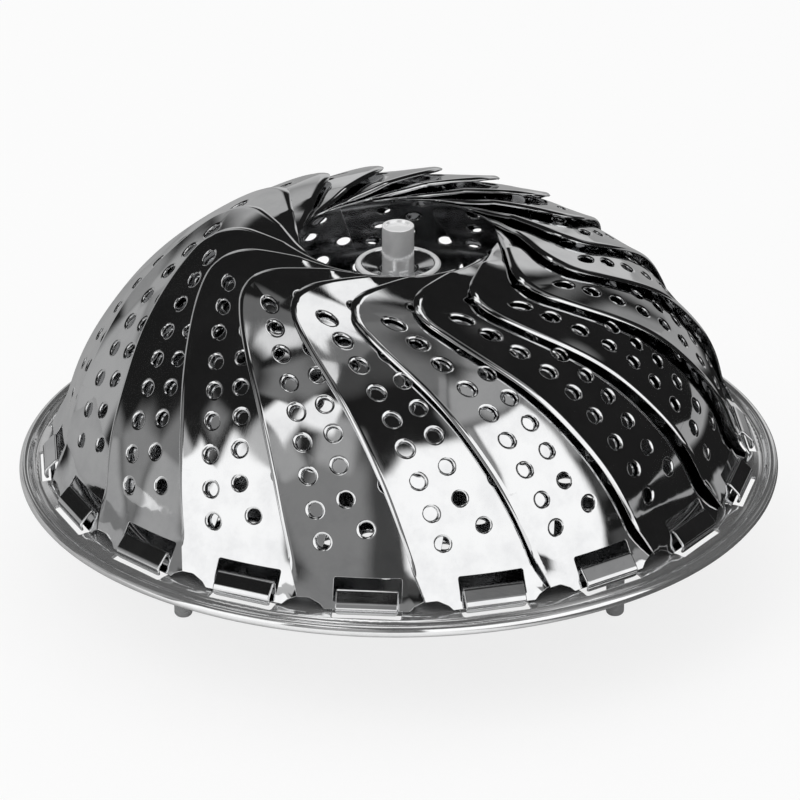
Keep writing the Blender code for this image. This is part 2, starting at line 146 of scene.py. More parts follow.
def nearest(points, others):
    # square of each point's distance from the nearest of the others
    return inBlocks(points, lambda block: ((block - others) ** 2).sum(axis=2).min(axis=1))


def clearOf(points, others, reach):
    return points[nearest(points, others) > reach * reach]


def gapToLine(points, line):
    # distance of each point from an open line of points
    start, run = line[:-1], np.diff(line, axis=0)
    size = (run ** 2).sum(axis=1)

    def gap(block):
        share = np.clip(((block - start) * run).sum(axis=2) / size, 0, 1)
        return np.sqrt(((block - start - share[..., None] * run) ** 2).sum(axis=2).min(axis=1))

    return inBlocks(points, gap)


def turnedTo(points, angle):
    cosine, sine = math.cos(angle), math.sin(angle)
    return np.column_stack([points[:, 0] * cosine - points[:, 1] * sine, points[:, 0] * sine + points[:, 1] * cosine])


def circle(centre, radius, count, turn=0.0):
    angles = turn + np.arange(count) * 2 * math.pi / count
    return np.column_stack([centre[0] + radius * np.cos(angles), centre[1] + radius * np.sin(angles)])


def refinish(data, material, chosen):
    # a second finish on the chosen faces
    data.materials.append(material)
    for polygon in data.polygons:
        if chosen(polygon):
            polygon.material_index = 1


def newMesh(name, points, faces, material):
    data = bpy.data.meshes.new(name)
    data.from_pydata((np.asarray(points) * mm).tolist(), [], faces)
    data.materials.append(material)
    data.shade_smooth()
    return data


def meshWithNormals(name, points, faces, normals, material):
    data = newMesh(name, points, faces, material)
    data.normals_split_custom_set_from_vertices(np.asarray(normals).tolist())
    return data


def addObject(name, data):
    made = bpy.data.objects.new(name, data)
    bpy.context.scene.collection.objects.link(made)
    return made


def addPiece(name, data, body, node, placed=Matrix()):
    made = addObject(name, data)
    made.matrix_world = placed
    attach(made, body)
    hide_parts(node)


# pressed sheet: a pierced blank, cut to triangles once, then formed in space

def cutBlank(outline, openings, fill):
    # outline and openings all run with the metal on their left
    loops = [outline if loopArea(outline) > 0 else outline[::-1]]
    loops += [opening[::-1] if loopArea(opening) > 0 else opening for opening in openings]
    rings, first = [], 0
    for loop in loops:
        rings.append(list(range(first, first + len(loop))))
        first += len(loop)
    points = [Vector(point) for point in np.vstack(loops + [fill]).tolist()]
    edges = [edge for ring in rings for edge in zip(ring, ring[1:] + ring[:1])]
    result = geometry.delaunay_2d_cdt(points, edges, [], 0, 0.0)
    flat, triangles = np.array([tuple(point) for point in result[0]]), np.array(result[2])
    triangles = triangles[insideLoops(flat[triangles].mean(axis=1), loops)]
    # only points of the metal are kept, under new numbers
    kept, triangles = np.unique(triangles, return_inverse=True)
    number = {source: new for new, old in enumerate(kept) for source in result[3][old]}
    return {"flat": flat[kept], "triangles": triangles.reshape(-1, 3),
            "rings": [[number[index] for index in ring if index in number] for ring in rings]}


def rimProfile(sheet, edgeRound, steps):
    # cut edge from the upper face to the lower: outward, upward, and the normal's two parts
    side = sheet / 2 - edgeRound
    upper, lower = np.linspace(90, 0, steps + 1), np.linspace(0, -90, steps + 1)
    halves = ((side, upper), (-side, lower[1:] if side < 1e-6 else lower))
    return [(edgeRound * math.cos(angle), level + edgeRound * math.sin(angle), math.cos(angle), math.sin(angle))
            for level, angles in halves for angle in np.radians(angles)]


def formSheet(name, blank, form, sheet, material, edgeRound=None, steps=2, inside=None):
    # both faces and the rounded cut edges of a formed blank, with normals from the form itself
    edgeRound = sheet / 2 if edgeRound is None else edgeRound
    flat, upper, nudge = blank["flat"], blank["triangles"], 0.02
    centre = form(flat)
    normal = np.cross(form(flat + (nudge, 0)) - form(flat - (nudge, 0)),
                      form(flat + (0, nudge)) - form(flat - (0, nudge)))
    normal /= np.linalg.norm(normal, axis=1)[:, None]
    points = [centre + normal * sheet / 2, centre - normal * sheet / 2]
    normals = [normal, -normal]
    faces = upper.tolist() + (upper[:, ::-1] + len(flat)).tolist()
    total = 2 * len(flat)
    for ring in blank["rings"]:
        base, up = centre[ring], normal[ring]
        outward = np.cross(np.roll(base, -1, axis=0) - np.roll(base, 1, axis=0), up)
        outward /= np.linalg.norm(outward, axis=1)[:, None]
        rows = [np.array(ring)]
        for reach, lift, normalOut, normalUp in rimProfile(sheet, edgeRound, steps)[1:-1]:
            points.append(base + outward * reach + up * lift)
            normals.append(outward * normalOut + up * normalUp)
            rows.append(np.arange(total, total + len(ring)))
            total += len(ring)
        rows.append(rows[0] + len(flat))
        for above, below in zip(rows, rows[1:]):
            faces += np.column_stack([above, below, np.roll(below, -1), np.roll(above, -1)]).tolist()
    data = meshWithNormals(name, np.vstack(points), faces, np.vstack(normals), material)
    # the faces of the first list, the inner side, take a second, darker finish when one is given: painted shade on the
    # petals' insides
    if inside:
        refinish(data, inside, lambda polygon: polygon.index < len(upper))
    return data


# turned pieces: a rounded section spun round the upright axis

def ringFaces(rings, closed):
    # squares between the rings, or triangles where a ring is a single point
    return [list(dict.fromkeys(corners))
            for lower, upper in zip(rings, rings[1:] + rings[:1] if closed else rings[1:])
            for corners in zip(lower, lower[1:] + lower[:1], upper[1:] + upper[:1], upper)]


def turnedMesh(name, corners, radii, segments, material, tilt=None):
    # corners are (radius, height) in order, metal on the left; each corner gets its rounding radius
    closed = min(corner[0] for corner in corners) > 0
    corners = [np.array(corner, float) for corner in corners]
    padded = [corners[-1] if closed else None, *corners, corners[0] if closed else None]
    rows = []
    for before, corner, after, radius in zip(padded, corners, padded[2:], radii):
        sides = []
        for start, end in ((before, corner), (corner, after)):
            if start is not None and end is not None:
                run = (end - start) / np.linalg.norm(end - start)
                sides.append(np.array([run[1], -run[0]]))
        if len(sides) == 1 or radius <= 0:
            rows += [(corner, side) for side in sides]
            continue
        for spot, first, second in roundCorner(before, corner, after, radius, 0.49, 3, 18):
            facing = sides[0] * first + sides[1] * second
            rows.append((spot, facing / np.linalg.norm(facing)))
    points, normals, rings = [], [], []
    angles = np.arange(segments) * 2 * math.pi / segments
    for (radius, height), (outward, upward) in rows:
        if radius < 1e-6:
            rings.append([len(points)] * segments)
            points.append((0, 0, height))
            normals.append((0, 0, math.copysign(1, upward)))
            continue
        rings.append(list(range(len(points), len(points) + segments)))
        points += [(radius * math.cos(angle), radius * math.sin(angle), height) for angle in angles]
        normals += [(outward * math.cos(angle), outward * math.sin(angle), upward) for angle in angles]
    faces = ringFaces(rings, closed)
    points, normals = np.array(points), np.array(normals)
    if tilt is not None:
        turn = np.array(tilt.to_3x3())
        points, normals = points @ turn.T, normals @ turn.T
    return meshWithNormals(name, points, faces, normals, material)


# node trees: a value is a number or colour, or what another node gives

def wire(tree, kind, inputs=None, **settings):
    node = tree.nodes.new("ShaderNode" + kind)
    for setting, value in settings.items():
        setattr(node, setting, value)
    for socket, value in (inputs or {}).items():
        if isinstance(value, bpy.types.NodeSocket):
            tree.links.new(value, node.inputs[socket])
        else:
            node.inputs[socket].default_value = value
    return node.outputs


def spread(tree, source, low, high, toLow=0.0, toHigh=1.0):
    # smooth rise from toLow to toHigh as the source goes from low to high
    return wire(tree, "MapRange", {"Value": source, "From Min": low, "From Max": high,
                                   "To Min": toLow, "To Max": toHigh}, interpolation_type="SMOOTHSTEP")[0]


def combine(tree, kind, result, *values):
    for value in values:
        result = wire(tree, "Math", {0: result, 1: value}, operation=kind)[0]
    return result


def product(tree, *values):
    return combine(tree, "MULTIPLY", *values)


def mixed(tree, share, first, second):
    return wire(tree, "MixShader", {0: share, 1: first, 2: second})[0]


# steel

def steel(name, look):
    # polished or brushed stainless steel: grain, handling marks, faint waviness, and painted shade that darkens the
    # tone in hollows
    material = bpy.data.materials.new(name)
    material.use_nodes = True
    tree = material.node_tree
    place = wire(tree, "TexCoord")["Object"]

    def noise(scale, detail, rough, stretch=(1, 1, 1), turn=0.0):
        vector = wire(tree, "Mapping", {"Vector": place, "Scale": stretch, "Rotation": (0, 0, turn)})[0]
        return wire(tree, "TexNoise", {"Vector": vector, "Scale": scale, "Detail": detail, "Roughness": rough})[0]

    grain = noise(look["grainScale"], 3.0, 0.6, look["grainRun"])
    marks = noise(look["markScale"], 2.0, 0.7, look["markRun"], math.radians(look["markTurn"]))
    marks = spread(tree, marks, *look["markSpan"])
    smudge = noise(look["smudgeScale"], 4.0, 0.55)
    rough = combine(tree, "ADD", spread(tree, smudge, *look["smudgeSpan"], look["roughLow"], look["roughHigh"]),
                    product(tree, marks, look["markRough"]),
                    spread(tree, grain, *look["grainSpan"], 0.0, look["grainRough"]))
    fade = spread(tree, noise(look["fadeScale"], 5.0, 0.6), *look["fadeSpan"])
    # painted shade: hollows, found by pointiness, mix towards the dark tone
    hollowShade = spread(tree, wire(tree, "NewGeometry")["Pointiness"], *look["hollowShadeSpan"])
    # dark tone where the random fade is low (real tone variation) and where the painted shade in hollows falls
    tone = wire(tree, "Mix", {"A": (*look["darkTone"], 1), "B": (*look["tone"], 1),
                              "Factor": product(tree, fade, hollowShade)}, data_type="RGBA")["Result"]
    height = product(tree, noise(look["waveScale"], 1.0, 0.4), look["wave"])
    height = combine(tree, "ADD", height, product(tree, grain, look["grain"]))
    height = combine(tree, "SUBTRACT", height, product(tree, marks, look["markDepth"]))
    normal = wire(tree, "Bump", {"Strength": 1.0, "Distance": 1.0, "Height": height})[0]
    shader = tree.nodes["Principled BSDF"]
    shader.inputs["Metallic"].default_value = look["metallic"]
    for socket, source in (("Roughness", rough), ("Base Color", tone), ("Normal", normal)):
        tree.links.new(source, shader.inputs[socket])
    return material


polished = {
    "metallic": 1.0, "tone": (0.86, 0.865, 0.87), "darkTone": (0.76, 0.765, 0.775), "fadeScale": 140.0,
    "roughLow": 0.035, "roughHigh": 0.085, "smudgeScale": 55.0,
    "grainScale": 420.0, "grainRun": (1.0, 6.0, 1.0), "grain": 8e-7, "grainRough": 0.02,
    "markScale": 900.0, "markRun": (1.0, 0.05, 0.3), "markTurn": 31.0, "markDepth": 1.5e-6, "markRough": 0.10,
    "waveScale": 70.0, "wave": 0.00010,
    # span of each noise, or of how sharp a corner is, over which it takes effect; hollows below the corner span take
    # the dark tone as painted shade
    "markSpan": (0.68, 0.80), "smudgeSpan": (0.35, 0.75), "grainSpan": (0.3, 0.7), "fadeSpan": (0.25, 0.62),
    "hollowShadeSpan": (0.42, 0.5),
}
pressed = dict(polished, roughLow=0.06, roughHigh=0.12, waveScale=60.0, wave=0.00008)
brushed = dict(polished, tone=(0.78, 0.785, 0.79), darkTone=(0.66, 0.665, 0.67), roughLow=0.16,
               roughHigh=0.26, grainScale=1500.0, grainRun=(1.0, 1.0, 0.04), grain=3e-6,
               wave=0.00002, grainRough=0.10)
turnedLook = dict(polished, tone=(0.84, 0.845, 0.85), roughLow=0.07, roughHigh=0.14, grainScale=2600.0,
                  grainRun=(0.05, 0.05, 1.0), grain=1.5e-6, wave=0.00002, grainRough=0.06)

litTone = (0.95, 0.952, 0.955)
petalSteel = steel("petalSteel", polished)
# petals' inner faces: a darker copy of the polished steel, painted shade for the basket's dark inside
petalShadedInside = steel("petalShadedInside", dict(polished, tone=(0.40, 0.405, 0.415), darkTone=(0.28, 0.285, 0.29),
                                        roughLow=0.06, roughHigh=0.14))
plateSteel = steel("plateSteel", pressed)
# flange and bead: a lighter, less metallic copy of the pressed steel, painted light that makes the rim read white
rimPaintedLightSteel = steel("rimPaintedLightSteel", dict(pressed, metallic=0.86, tone=litTone, darkTone=(0.86, 0.862, 0.865),
                                  roughLow=0.05, roughHigh=0.09, waveScale=45.0, wave=0.00016))
postSteel = steel("postSteel", dict(turnedLook, metallic=0.45, tone=litTone, roughLow=0.08))
discSteel = steel("discSteel", dict(turnedLook, roughLow=0.05, roughHigh=0.10))
# nearly white, nearly matt copy of the turned steel: a painted highlight on the post's cup and on the disc's rim
paintedHighlightSteel = steel("paintedHighlightSteel", dict(turnedLook, metallic=0.15, tone=litTone, darkTone=(0.90, 0.902, 0.905),
                                        roughLow=0.06, roughHigh=0.10))
legSteel = steel("legSteel", dict(turnedLook, metallic=0.75, tone=(0.92, 0.923, 0.926), roughLow=0.18,
                                  roughHigh=0.26))
fixingSteel = steel("fixingSteel", brushed)
bracketSteel = steel("bracketSteel", brushed)
pinSteel = steel("pinSteel", brushed)


# base plate

print("base plate")
plate = {
    "rimRadius": 80.0, "sheet": 0.6, "standHeight": 25.3, "beadRadius": 1.25, "beadTrim": 0.012, "grooveWidth": 0.9,
    # the groove, measured outwards from the flange's edge and up from its level
    "groove": ((-2.4, 0.0), (-1.9, -0.05), (-1.3, -0.17), (-0.7, -0.30), (-0.2, -0.52), (0.2, -0.92), (0.62, -0.96)),
    "flangeWidth": 8.5, "wallRun": 10.5, "dishDepth": 8.0, "postHole": 2.7, "segments": 252,
    "drainRings": ((11.5, 8), (17.5, 13), (23.5, 18), (29.5, 23), (35.5, 28), (41.5, 33)),
    "drainRadius": 1.55, "drainSink": 0.18, "drainLip": 0.9, "drainTurn": 0.13,
}
hinge = {
    "count": 18, "firstAzimuth": -175.0, "inset": 7.0, "rise": 1.1, "barHeight": 1.6, "tongueHalf": 6.3,
    "sideGap": 0.6, "petalSheet": 0.4, "slotLand": 0.9, "slotGap": 0.12,
    "curlGap": 0.45, "bendRadius": 0.55, "curlEnd": -42.0, "lean": 45.0,
    "slotRounds": (0, 0.1, 0.4, 0.7, 0.7, 0.4, 0.1, 0), "foldRound": 0.62,
    "flatRoom": 3.1,  # length that the tongue takes up in the flat drawing of its slot
}
flangeMid = plate["standHeight"] - plate["sheet"] / 2
floorMid = flangeMid - plate["dishDepth"]
flangeOuter = plate["rimRadius"] - 2 * plate["beadRadius"] - plate["grooveWidth"]
flangeInner = flangeOuter - plate["flangeWidth"]
floorRadius = flangeInner - plate["wallRun"]
hingeRadius = plate["rimRadius"] - hinge["inset"]
hingeHeight = plate["standHeight"] + hinge["rise"]
pitchAngle = 2 * math.pi / hinge["count"]
azimuths = [math.radians(hinge["firstAzimuth"]) + pitchAngle * index for index in range(hinge["count"])]
curlRadius = math.hypot(hinge["barHeight"] / 2, hinge["petalSheet"] / 2) + hinge["curlGap"] + plate["sheet"] / 2


def splinePath(points, perSpan=12):
    # smooth curve through the points
    points = np.array(points, float)
    padded = np.vstack([2 * points[0] - points[1], points, 2 * points[-1] - points[-2]])
    rows = [0.5 * (2 * b + (c - a) * t + (2 * a - 5 * b + 4 * c - d) * t * t + (3 * b - a - 3 * c + d) * t ** 3)
            for a, b, c, d in zip(padded, padded[1:], padded[2:], padded[3:])
            for t in [part / perSpan for part in range(perSpan)]]
    return np.array(rows + [points[-1]])


def pathTable(path):
    steps = np.linalg.norm(np.diff(path, axis=0), axis=1)
    return np.concatenate([[0], np.cumsum(steps)]), path


beadCentre = np.array([plate["rimRadius"] - plate["beadRadius"],
                       flangeMid - plate["beadRadius"] + plate["sheet"] / 2])
beadMid = plate["beadRadius"] - plate["sheet"] / 2 - plate["beadTrim"]
rimCorners = [(flangeOuter + outward, flangeMid + upward) for outward, upward in plate["groove"]]
edgeStart = rimCorners[0][0]
rimCorners += [beadCentre + beadMid * spoke(math.radians(angle)) for angle in range(148, -171, -22)]
rimLengths, rimPath = pathTable(splinePath(rimCorners))

tongueStart = hingeRadius - curlRadius - hinge["bendRadius"]
bendCentre = np.array([tongueStart, flangeMid + hinge["bendRadius"]])
tongueCorners = [bendCentre + hinge["bendRadius"] * np.array([math.sin(a), -math.cos(a)])
                 for a in np.radians(np.linspace(0, 90, 9))]
# the tongue rises through the petal's window, folds over, slopes down and ends under the hinge bar
lean = math.radians(hinge["lean"])
wrapStart = curlRadius * spoke(lean)
foldTop = np.array([-curlRadius, wrapStart[1] + (wrapStart[0] + curlRadius) / math.tan(lean)])
tongueFold = roundedLoop([(-curlRadius, 0), foldTop, wrapStart], (0, hinge["foldRound"], 0), 0.2, closed=False)
tongueWrap = [curlRadius * spoke(a) for a in np.linspace(lean, math.radians(hinge["curlEnd"]), 18)[1:]]
tongueCorners += [np.array([hingeRadius, hingeHeight]) + spot for spot in list(tongueFold) + tongueWrap]
tongueLengths, tonguePath = pathTable(np.array(tongueCorners))


def plateForm(flat):
    radius = np.hypot(flat[:, 0], flat[:, 1])
    angle = np.arctan2(flat[:, 1], flat[:, 0])
    beyond, outer = radius - edgeStart, radius > edgeStart
    rolled = np.where(outer, np.interp(beyond, rimLengths, rimPath[:, 0]), radius)
    share = np.clip((radius - floorRadius) / (flangeInner - floorRadius), 0, 1)
    dished = floorMid + plate["dishDepth"] * (1 - np.cos(np.pi * share)) / 2
    height = np.where(outer, np.interp(beyond, rimLengths, rimPath[:, 1]), dished)
    gaps = np.sqrt(nearest(flat, drainCentres)) - drainCut
    height = height - fading(gaps, plate["drainSink"], plate["drainLip"])
    formed = np.column_stack([rolled * np.cos(angle), rolled * np.sin(angle), height])
    length, end = tongueLengths[-1], tonguePath[-1]
    tail = (end - tonguePath[-2]) / np.linalg.norm(end - tonguePath[-2])
    for number, azimuth in enumerate(azimuths, 1):
        mine = tongueNumbers == number
        x, y = turnedTo(flat[mine], -azimuth).T
        run = (x - tongueStart) * length / hinge["flatRoom"]
        late = run > length
        outward = np.where(run < 0, x, np.interp(run, tongueLengths, tonguePath[:, 0]))
        outward = np.where(late, end[0] + tail[0] * (run - length), outward)
        lift = np.interp(run, tongueLengths, tonguePath[:, 1])
        lift = np.where(late, end[1] + tail[1] * (run - length), lift)
        formed[mine] = np.column_stack([turnedTo(np.column_stack([outward, y]), azimuth), lift])
    return formed


edgeRound = plate["sheet"] / 2
slotHalf = hinge["tongueHalf"] + hinge["sideGap"] + edgeRound
strapHalf = hinge["tongueHalf"] - edgeRound
slotInner = tongueStart - hinge["slotGap"]
slotBack = slotInner - edgeRound
slotOuter = math.sqrt((flangeOuter - hinge["slotLand"]) ** 2 - slotHalf ** 2) + edgeRound
strapRows = np.linspace(tongueStart, tongueStart + hinge["flatRoom"], 45)
slotWalls = roundedLoop(
    [(slotInner, -strapHalf), (slotBack, -strapHalf - 0.1), (slotBack, -slotHalf), (slotOuter, -slotHalf),
     (slotOuter, slotHalf), (slotBack, slotHalf), (slotBack, strapHalf + 0.1), (slotInner, strapHalf)],
    hinge["slotRounds"], 0.55, closed=False)
strapSide = strapRows[:-3]
strapColumns = np.linspace(-strapHalf + 0.5, strapHalf - 0.5, 22)
slotLoop = np.vstack([slotWalls, [(x, strapHalf) for x in strapSide],
                      [(strapRows[-2], strapHalf - 0.12)], [(strapRows[-1], y) for y in strapColumns[::-1]],
                      [(strapRows[-2], -strapHalf + 0.12)], [(x, -strapHalf) for x in strapSide[::-1]]])

drainCut = plate["drainRadius"] + edgeRound
drainCentres = np.vstack([circle((0, 0), radius, count, plate["drainTurn"] * ring)
                          for ring, (radius, count) in enumerate(plate["drainRings"])])
plateOutline = circle((0, 0), edgeStart + rimLengths[-1], plate["segments"])
openings = [turnedTo(slotLoop, azimuth) for azimuth in azimuths]
openings += [circle(centre, drainCut, 16) for centre in drainCentres]
openings.append(circle((0, 0), plate["postHole"] + edgeRound, 40))

# rings of points that fill the flat drawing
ringRadii = list(edgeStart + np.linspace(0, rimLengths[-1], 26)[:-1])
ringRadii += [flangeInner + 0.2, edgeStart - 0.8]
ringRadii += list(floorRadius + (flangeInner - floorRadius) * np.linspace(0.0, 0.97, 12))
ringRadii += [4.0, 6.5, 50.5, 54.0]
fill = np.vstack([circle((0, 0), radius, plate["segments"] if radius > 50 else 48) for radius in ringRadii])
lipFill = np.vstack([circle(centre, drainCut + plate["drainLip"] * share, 16)
                     for share in (0.5, 1) for centre in drainCentres])
strapFill = np.array([(x, y) for x in strapRows[:-1] for y in strapColumns])
strapFills = np.vstack([turnedTo(strapFill, azimuth) for azimuth in azimuths])


def inStrap(points, margin=0.0, slack=0.001):
    # number of the tongue that each point of the drawing is on, or 0
    found = np.zeros(len(points), int)
    for number, azimuth in enumerate(azimuths, 1):
        local = turnedTo(points, -azimuth)
        mine = (local[:, 0] > tongueStart - slack) & (local[:, 0] < tongueStart + hinge["flatRoom"] + margin + slack)
        found[mine & (np.abs(local[:, 1]) < strapHalf + margin + slack)] = number
    return found


fill = fill[inStrap(fill, 0.3) == 0]
fill = clearOf(fill, np.vstack(openings), 0.30)
fill = fill[~insideLoops(fill, openings)]
plateBlank = cutBlank(plateOutline, openings, np.vstack([fill, lipFill, strapFills]))
tongueNumbers = inStrap(plateBlank["flat"])
plateMesh = formSheet("basePlate", plateBlank, plateForm, plate["sheet"], plateSteel)
# the flange and bead take the lighter copy of the plate's steel: painted light
refinish(plateMesh, rimPaintedLightSteel, lambda polygon: (polygon.center / mm).xy.length > flangeInner + 1
         and (polygon.center / mm).z < plate["standHeight"] + 0.3)
addPiece("basePlate", plateMesh, "base", "base_plate")


# petals

print("petals")
petal = {
    "lap": 1.05, "lapRise": 2.5, "levelRise": 10.0, "flatFoot": 8.0, "tabHalf": 8.5,
    "archHeight": 1.4, "archSpread": 3.1, "earHeight": 0.2, "earSpread": 0.9, "windowHalf": 6.8, "windowTop": 5.6,
    "rootOverlap": 0.85, "rootRelief": 0.25, "topLeftShare": 0.412, "topRightShare": 0.288, "mouthRadius": 20.9,
    "slopeShares": (0.0, 0.14, 0.22, 0.31, 0.43, 0.50, 0.57, 0.66, 0.72, 0.79, 0.86, 1.0),
    "slopes": (63.0, 76.0, 67.0, 58.0, 54.0, 48.0, 41.0, 37.0, 34.0, 20.0, 9.0, 7.0),
    "leftShares": (0.0, 0.16, 0.30, 0.41, 0.50, 0.58, 0.65, 0.71, 1.0),
    "leftSpread": (0.0, 0.19, 0.36, 0.51, 0.65, 0.79, 0.91, 0.98, 1.0),
    "rightShares": (0.0, 0.15, 0.38, 0.64, 1.0), "rightSpread": (0.0, 0.24, 0.52, 0.76, 1.0),
    "shoulder": 0.73, "shoulderRound": 0.74, "hip": 0.80, "hipRound": 0.80, "lapLimit": 0.77,
    "holeRadius": 1.56, "lipSink": 0.18, "lipWidth": 0.38, "edgeDrop": 0.55, "edgeWidth": 1.0,
    "openLift": 1.1, "liftWidth": 8.0, "tipRest": 0.35, "cutRound": 0.10, "wobble": 0.045, "grid": 1.9,
    "footRounds": (0, 1.4, 0.5, 0.35, 0.35, 0.5, 1.4, 0), "windowRounds": (0.3, 0.6, 0.6, 0.3),
    # where each relief begins and over what length it grows
    "dropAlong": (4, 6), "dropAcross": (-2, 8), "wobbleAlong": (3, 10), "liftAlong": (1.5, 6),
    "restAlong": (0.42, 0.28), "firstSeed": 40,
}
# hole centres up the petal and across it, in columns from its open edge
holeColumns = (
    ((12.3, -9.3), (18.5, -11.0), (25.1, -12.7), (31.6, -14.2), (37.5, -15.8), (43.2, -17.7),
     (49.0, -19.8), (54.2, -21.7), (59.0, -23.4)),
    ((15.3, -0.6), (21.2, -4.9), (27.9, -6.6), (34.2, -8.1), (40.0, -10.2), (46.1, -12.1),
     (52.0, -13.8), (58.0, -15.5), (63.7, -16.9)),
    ((18.6, 7.0), (24.6, 3.3), (31.0, 1.8), (37.2, -0.2), (43.3, -3.0), (49.4, -5.6), (55.4, -7.5)),
    ((21.8, 11.2), (28.0, 9.6), (34.3, 8.3), (40.4, 6.2), (46.5, 3.8), (52.4, 0.9)),
)
halfChord = hingeRadius * math.tan(pitchAngle / 2)
rootLeft, rootRight = halfChord + petal["rootOverlap"], halfChord - petal["rootRelief"]
topLeft, topRight = hingeRadius * petal["topLeftShare"], hingeRadius * petal["topRightShare"]

shares, slopeTable = softTable(petal["slopeShares"], np.radians(petal["slopes"]))
petalLength = (hingeRadius - petal["mouthRadius"]) / np.cos(slopeTable[:-1]).mean()
stepLength = petalLength / (len(shares) - 1)
lengthTable = shares * petalLength
radiusTable = hingeRadius - np.concatenate([[0], np.cumsum(np.cos(slopeTable[:-1]))]) * stepLength
heightTable = hingeHeight + np.concatenate([[0], np.cumsum(np.sin(slopeTable[:-1]))]) * stepLength
leftTable = softTable(petal["leftShares"], petal["leftSpread"])[1]
rightTable = softTable(petal["rightShares"], petal["rightSpread"])[1]


def meridianAt(along):
    inside = np.clip(along, 0, petalLength)
    slope = np.interp(inside, lengthTable, slopeTable)
    radius = np.interp(inside, lengthTable, radiusTable) - np.cos(slope) * (along - inside)
    height = np.interp(inside, lengthTable, heightTable) + np.sin(slope) * (along - inside)
    return radius, height, slope


def leftEdge(along):
    return -(rootLeft + (topLeft - rootLeft) * np.interp(along, lengthTable, leftTable))


def rightEdge(along):
    return rootRight + (topRight - rootRight) * np.interp(along, lengthTable, rightTable)


def mouthEdge(across):
    # length up the petal at which its straight top edge lies, for each distance across
    return np.interp(-np.hypot(petal["mouthRadius"], across), -radiusTable, lengthTable)


def curveThrough(start, corner, end, count=14):
    t = np.linspace(0, 1, count)[:, None]
    return (1 - t) ** 2 * np.array(start) + 2 * t * (1 - t) * np.array(corner) + t * t * np.array(end)


def petalOutline():
    tab, arch = petal["tabHalf"], petal["archHeight"]
    low, ear, spread = -hinge["barHeight"] / 2, petal["earHeight"], petal["archSpread"]
    foot = roundedLoop([(arch, rightEdge(arch)), (arch, tab + spread), (ear, tab + petal["earSpread"]),
                        (low, tab), (low, -tab), (ear, -tab - petal["earSpread"]), (arch, -tab - spread),
                        (arch, leftEdge(arch))], petal["footRounds"], 0.6, closed=False)
    shoulder, hip = petalLength * petal["shoulder"], petalLength * petal["hip"]
    left = np.arange(arch + 0.6, shoulder - 0.5, 0.95)
    corner = leftEdge(shoulder)
    flatStart = corner * petal["shoulderRound"]
    tip = rightEdge(hip)
    tipStart = tip * petal["hipRound"]
    top = np.arange(flatStart + 1, tipStart - 0.5, 1.2)
    right = np.arange(hip - 0.8, arch + 0.4, -1.1)
    return np.vstack([
        foot, np.column_stack([left, leftEdge(left)]),
        curveThrough((shoulder, corner), (mouthEdge(corner), corner), (mouthEdge(flatStart), flatStart)),
        np.column_stack([mouthEdge(top), top]),
        curveThrough((mouthEdge(tipStart), tipStart), (mouthEdge(tip), tip), (hip, tip), 10),
        np.column_stack([right, rightEdge(right)])])


def shrink(loop, inset):
    # moves a loop towards its own metal by the inset
    along = np.roll(loop, -1, axis=0) - np.roll(loop, 1, axis=0)
    along /= np.linalg.norm(along, axis=1)[:, None]
    side = np.column_stack([-along[:, 1], along[:, 0]]) * (1 if loopArea(loop) > 0 else -1)
    return loop + side * inset


def petalShape(seed):
    dice = np.random.default_rng(seed)
    waves = [(dice.uniform(0.12, 0.42), dice.uniform(0, 2 * math.pi), dice.uniform(0, 2 * math.pi),
              dice.uniform(0.4, 1.0)) for wave in range(7)]
    waveTotal = sum(wave[3] for wave in waves)

    def form(flat):
        along, across = flat[:, 0], flat[:, 1]
        radius, height, slope = meridianAt(along)
        angle = np.arcsin(np.clip(across / radius, -0.999, 0.999))
        reference = np.clip(along, 0, petalLength * petal["lapLimit"])
        leftAngle = np.arcsin(np.clip(leftEdge(reference) / meridianAt(reference)[0], -0.999, 0.999))
        level = leftAngle * softStep(along / petal["levelRise"])
        lap = petal["lap"] * softStep(along / petal["lapRise"]) * (angle - level) / pitchAngle
        gaps = np.sqrt(nearest(flat, holeCentres)) - holeCut
        lip = fading(gaps, petal["lipSink"], petal["lipWidth"])
        drop = fading(gapToLine(flat, exposed), petal["edgeDrop"], petal["edgeWidth"])
        drop = drop * rise(along, *petal["dropAlong"]) * rise(-across, *petal["dropAcross"])
        ripple = 0
        for rate, turn, phase, size in waves:
            ripple = ripple + size * np.sin(rate * (along * math.cos(turn) + across * math.sin(turn)) + phase)
        ripple = petal["wobble"] * ripple / waveTotal * 2 * rise(along, *petal["wobbleAlong"])
        lift = fading(gapToLine(flat, openSide), petal["openLift"], petal["liftWidth"])
        lift = lift * rise(along, *petal["liftAlong"])
        lift = lift * (1 - petal["tipRest"] * rise(along / petalLength, *petal["restAlong"]))
        offset = ripple + lift - drop - lip - lap
        curved = softStep(along / petal["flatFoot"])
        inner = radius + np.sin(slope) * offset
        outward = inner * (1 - curved + curved * np.cos(angle))
        sideways = across + (inner * np.sin(angle) - across) * curved
        return np.column_stack([outward - hingeRadius, sideways, height + np.cos(slope) * offset - hingeHeight])

    return form


